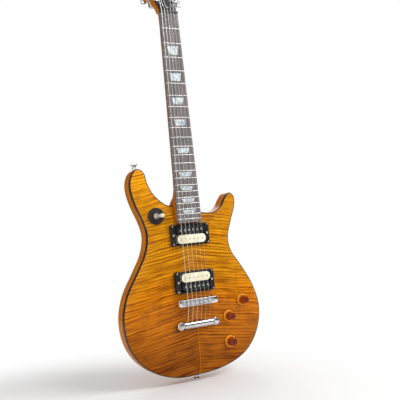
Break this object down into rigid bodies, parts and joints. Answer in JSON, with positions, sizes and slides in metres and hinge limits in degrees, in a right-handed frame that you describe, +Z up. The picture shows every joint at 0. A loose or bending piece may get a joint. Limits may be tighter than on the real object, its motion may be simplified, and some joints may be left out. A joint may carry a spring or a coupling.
{
  "type": "electric guitar",
  "caption": "Solid-body double-cutaway electric guitar with a carved figured top, set neck, open-coil pickups, metal bridge and stop tailpiece.",
  "frame": {"origin": "centre of the lower strap button's flat end face", "axes": "+Z up the strings to the headstock, strings and knobs on the -Y side, +X towards the treble side"},
  "size_m": [0.3265, 0.0869, 0.9709],
  "materials": {
    "mahogany": "glossy stained",
    "maple": "glossy amber stained flame maple",
    "rosewood": "satin",
    "black_plastic": "glossy",
    "cream_plastic": "satin",
    "amber_plastic": "translucent glossy",
    "chrome": "polished",
    "nickel": "polished",
    "steel": "drawn",
    "wound": "wound wire"
  },
  "bodies": {
    "guitar": {"mahogany_back": "mahogany", "maple_top": "maple", "edge_binding": "black_plastic", "neck": "mahogany", "fretboard": "rosewood", "headstock_facing": "black_plastic", "nut": "black_plastic", "truss_rod": "steel", "truss_rod_cover": "black_plastic", "control_cover": "black_plastic", "switch_cover": "black_plastic", "output_jack": "nickel", "upper_strap_button": "chrome", "lower_strap_button": "chrome", "neck_pickup_ring": "black_plastic", "bridge_pickup_ring": "black_plastic", "stop_tailpiece": "chrome", "wiring_harness": "steel", "toggle_switch": "black_plastic", "low_e_tuner_housing": "chrome", "low_e_string": "wound", "a_tuner_housing": "chrome", "a_string": "wound", "d_tuner_housing": "chrome", "d_string": "wound", "g_tuner_housing": "chrome", "g_string": "steel", "b_tuner_housing": "chrome", "b_string": "steel", "high_e_tuner_housing": "chrome", "high_e_string": "steel"},
    "neck_pickup": {"neck_pickup_screw_coil": "black_plastic", "neck_pickup_slug_coil": "cream_plastic"},
    "bridge_pickup": {"bridge_pickup_screw_coil": "black_plastic", "bridge_pickup_slug_coil": "cream_plastic"},
    "bridge": {"bridge_body": "chrome"},
    "bass_post": {"bass_bridge_post": "chrome"},
    "treble_post": {"treble_bridge_post": "chrome"},
    "neck_volume": {"neck_volume_knob": "amber_plastic"},
    "bridge_volume": {"bridge_volume_knob": "amber_plastic"},
    "tone": {"tone_knob": "amber_plastic"},
    "pickup_selector": {"toggle_lever": "cream_plastic"},
    "saddle_low_e": {"low_e_saddle": "nickel"},
    "key_low_e": {"low_e_tuner_key": "chrome"},
    "post_low_e": {"low_e_tuner_post": "chrome"},
    "saddle_a": {"a_saddle": "nickel"},
    "key_a": {"a_tuner_key": "chrome"},
    "post_a": {"a_tuner_post": "chrome"},
    "saddle_d": {"d_saddle": "nickel"},
    "key_d": {"d_tuner_key": "chrome"},
    "post_d": {"d_tuner_post": "chrome"},
    "saddle_g": {"g_saddle": "nickel"},
    "key_g": {"g_tuner_key": "chrome"},
    "post_g": {"g_tuner_post": "chrome"},
    "saddle_b": {"b_saddle": "nickel"},
    "key_b": {"b_tuner_key": "chrome"},
    "post_b": {"b_tuner_post": "chrome"},
    "saddle_high_e": {"high_e_saddle": "nickel"},
    "key_high_e": {"high_e_tuner_key": "chrome"},
    "post_high_e": {"high_e_tuner_post": "chrome"}
  },
  "joints": [
    {"name": "neck_pickup_height", "type": "slide", "parent": "guitar", "child": "neck_pickup", "axis": [0, 1, 0], "range_m": [-0.001, 0.003]},
    {"name": "bridge_pickup_height", "type": "slide", "parent": "guitar", "child": "bridge_pickup", "axis": [0, 1, 0], "range_m": [-0.001, 0.003]},
    {"name": "bridge_height", "type": "slide", "parent": "guitar", "child": "bridge", "axis": [0, 1, 0], "range_m": [0, 0.0015]},
    {"name": "bass_wheel_turn", "type": "hinge", "parent": "bridge", "child": "bass_post", "pos_m": [-0.037, -0.025, 0.1678], "axis": [0, 1, 0], "range_deg": [0, 540]},
    {"name": "treble_wheel_turn", "type": "hinge", "parent": "bridge", "child": "treble_post", "pos_m": [0.037, -0.025, 0.1678], "axis": [0, 1, 0], "range_deg": [0, 540]},
    {"name": "low_e_intonation", "type": "slide", "parent": "bridge", "child": "saddle_low_e", "axis": [0, 0, 1], "range_m": [-0.0014, 0.0046]},
    {"name": "a_intonation", "type": "slide", "parent": "bridge", "child": "saddle_a", "axis": [0, 0, 1], "range_m": [-0.002, 0.004]},
    {"name": "d_intonation", "type": "slide", "parent": "bridge", "child": "saddle_d", "axis": [0, 0, 1], "range_m": [-0.0026, 0.0034]},
    {"name": "g_intonation", "type": "slide", "parent": "bridge", "child": "saddle_g", "axis": [0, 0, 1], "range_m": [-0.0018, 0.0042]},
    {"name": "b_intonation", "type": "slide", "parent": "bridge", "child": "saddle_b", "axis": [0, 0, 1], "range_m": [-0.0024, 0.0036]},
    {"name": "high_e_intonation", "type": "slide", "parent": "bridge", "child": "saddle_high_e", "axis": [0, 0, 1], "range_m": [-0.003, 0.003]},
    {"name": "neck_volume_turn", "type": "hinge", "parent": "guitar", "child": "neck_volume", "pos_m": [0.1143, -0.0262, 0.1571], "axis": [0, 1, 0], "range_deg": [-150, 150]},
    {"name": "bridge_volume_turn", "type": "hinge", "parent": "guitar", "child": "bridge_volume", "pos_m": [0.0769, -0.0262, 0.1265], "axis": [0, 1, 0], "range_deg": [-150, 150]},
    {"name": "tone_turn", "type": "hinge", "parent": "guitar", "child": "tone", "pos_m": [0.0748, -0.0262, 0.0715], "axis": [0, 1, 0], "range_deg": [-150, 150]},
    {"name": "selector_throw", "type": "hinge", "parent": "guitar", "child": "pickup_selector", "pos_m": [-0.0726, -0.02518, 0.3554], "axis": [0, 0, 1], "range_deg": [-34, 0]},
    {"name": "low_e_key_turn", "type": "hinge", "parent": "guitar", "child": "key_low_e", "pos_m": [-0.0225, 0.00767, 0.83182], "axis": [-1, 0, 0], "continuous": true},
    {"name": "low_e_post_turn", "type": "hinge", "parent": "guitar", "child": "post_low_e", "pos_m": [-0.0225, -0.01357, 0.83013], "axis": [0, -0.965, 0.2622], "continuous": true},
    {"name": "a_key_turn", "type": "hinge", "parent": "guitar", "child": "key_a", "pos_m": [-0.0267, 0.01816, 0.87042], "axis": [-1, 0, 0], "continuous": true},
    {"name": "a_post_turn", "type": "hinge", "parent": "guitar", "child": "post_a", "pos_m": [-0.0267, -0.00308, 0.86873], "axis": [0, -0.965, 0.2622], "continuous": true},
    {"name": "d_key_turn", "type": "hinge", "parent": "guitar", "child": "key_d", "pos_m": [-0.0309, 0.02865, 0.90902], "axis": [-1, 0, 0], "continuous": true},
    {"name": "d_post_turn", "type": "hinge", "parent": "guitar", "child": "post_d", "pos_m": [-0.0309, 0.00741, 0.90733], "axis": [0, -0.965, 0.2622], "continuous": true},
    {"name": "g_key_turn", "type": "hinge", "parent": "guitar", "child": "key_g", "pos_m": [0.0309, 0.02865, 0.90902], "axis": [1, 0, 0], "continuous": true},
    {"name": "g_post_turn", "type": "hinge", "parent": "guitar", "child": "post_g", "pos_m": [0.0309, 0.00741, 0.90733], "axis": [0, -0.965, 0.2622], "continuous": true},
    {"name": "b_key_turn", "type": "hinge", "parent": "guitar", "child": "key_b", "pos_m": [0.0267, 0.01816, 0.87042], "axis": [1, 0, 0], "continuous": true},
    {"name": "b_post_turn", "type": "hinge", "parent": "guitar", "child": "post_b", "pos_m": [0.0267, -0.00308, 0.86873], "axis": [0, -0.965, 0.2622], "continuous": true},
    {"name": "high_e_key_turn", "type": "hinge", "parent": "guitar", "child": "key_high_e", "pos_m": [0.0225, 0.00767, 0.83182], "axis": [1, 0, 0], "continuous": true},
    {"name": "high_e_post_turn", "type": "hinge", "parent": "guitar", "child": "post_high_e", "pos_m": [0.0225, -0.01357, 0.83013], "axis": [0, -0.965, 0.2622], "continuous": true}
  ],
  "couplings": [
    {"joint": "bass_wheel_turn", "follows": "bridge_height", "rad_per_m": 6283.2},
    {"joint": "treble_wheel_turn", "follows": "bridge_height", "rad_per_m": 6283.2},
    {"joint": "low_e_post_turn", "follows": "low_e_key_turn", "ratio": 0.0556},
    {"joint": "a_post_turn", "follows": "a_key_turn", "ratio": 0.0556},
    {"joint": "d_post_turn", "follows": "d_key_turn", "ratio": 0.0556},
    {"joint": "g_post_turn", "follows": "g_key_turn", "ratio": 0.0556},
    {"joint": "b_post_turn", "follows": "b_key_turn", "ratio": 0.0556},
    {"joint": "high_e_post_turn", "follows": "high_e_key_turn", "ratio": 0.0556}
  ]
}
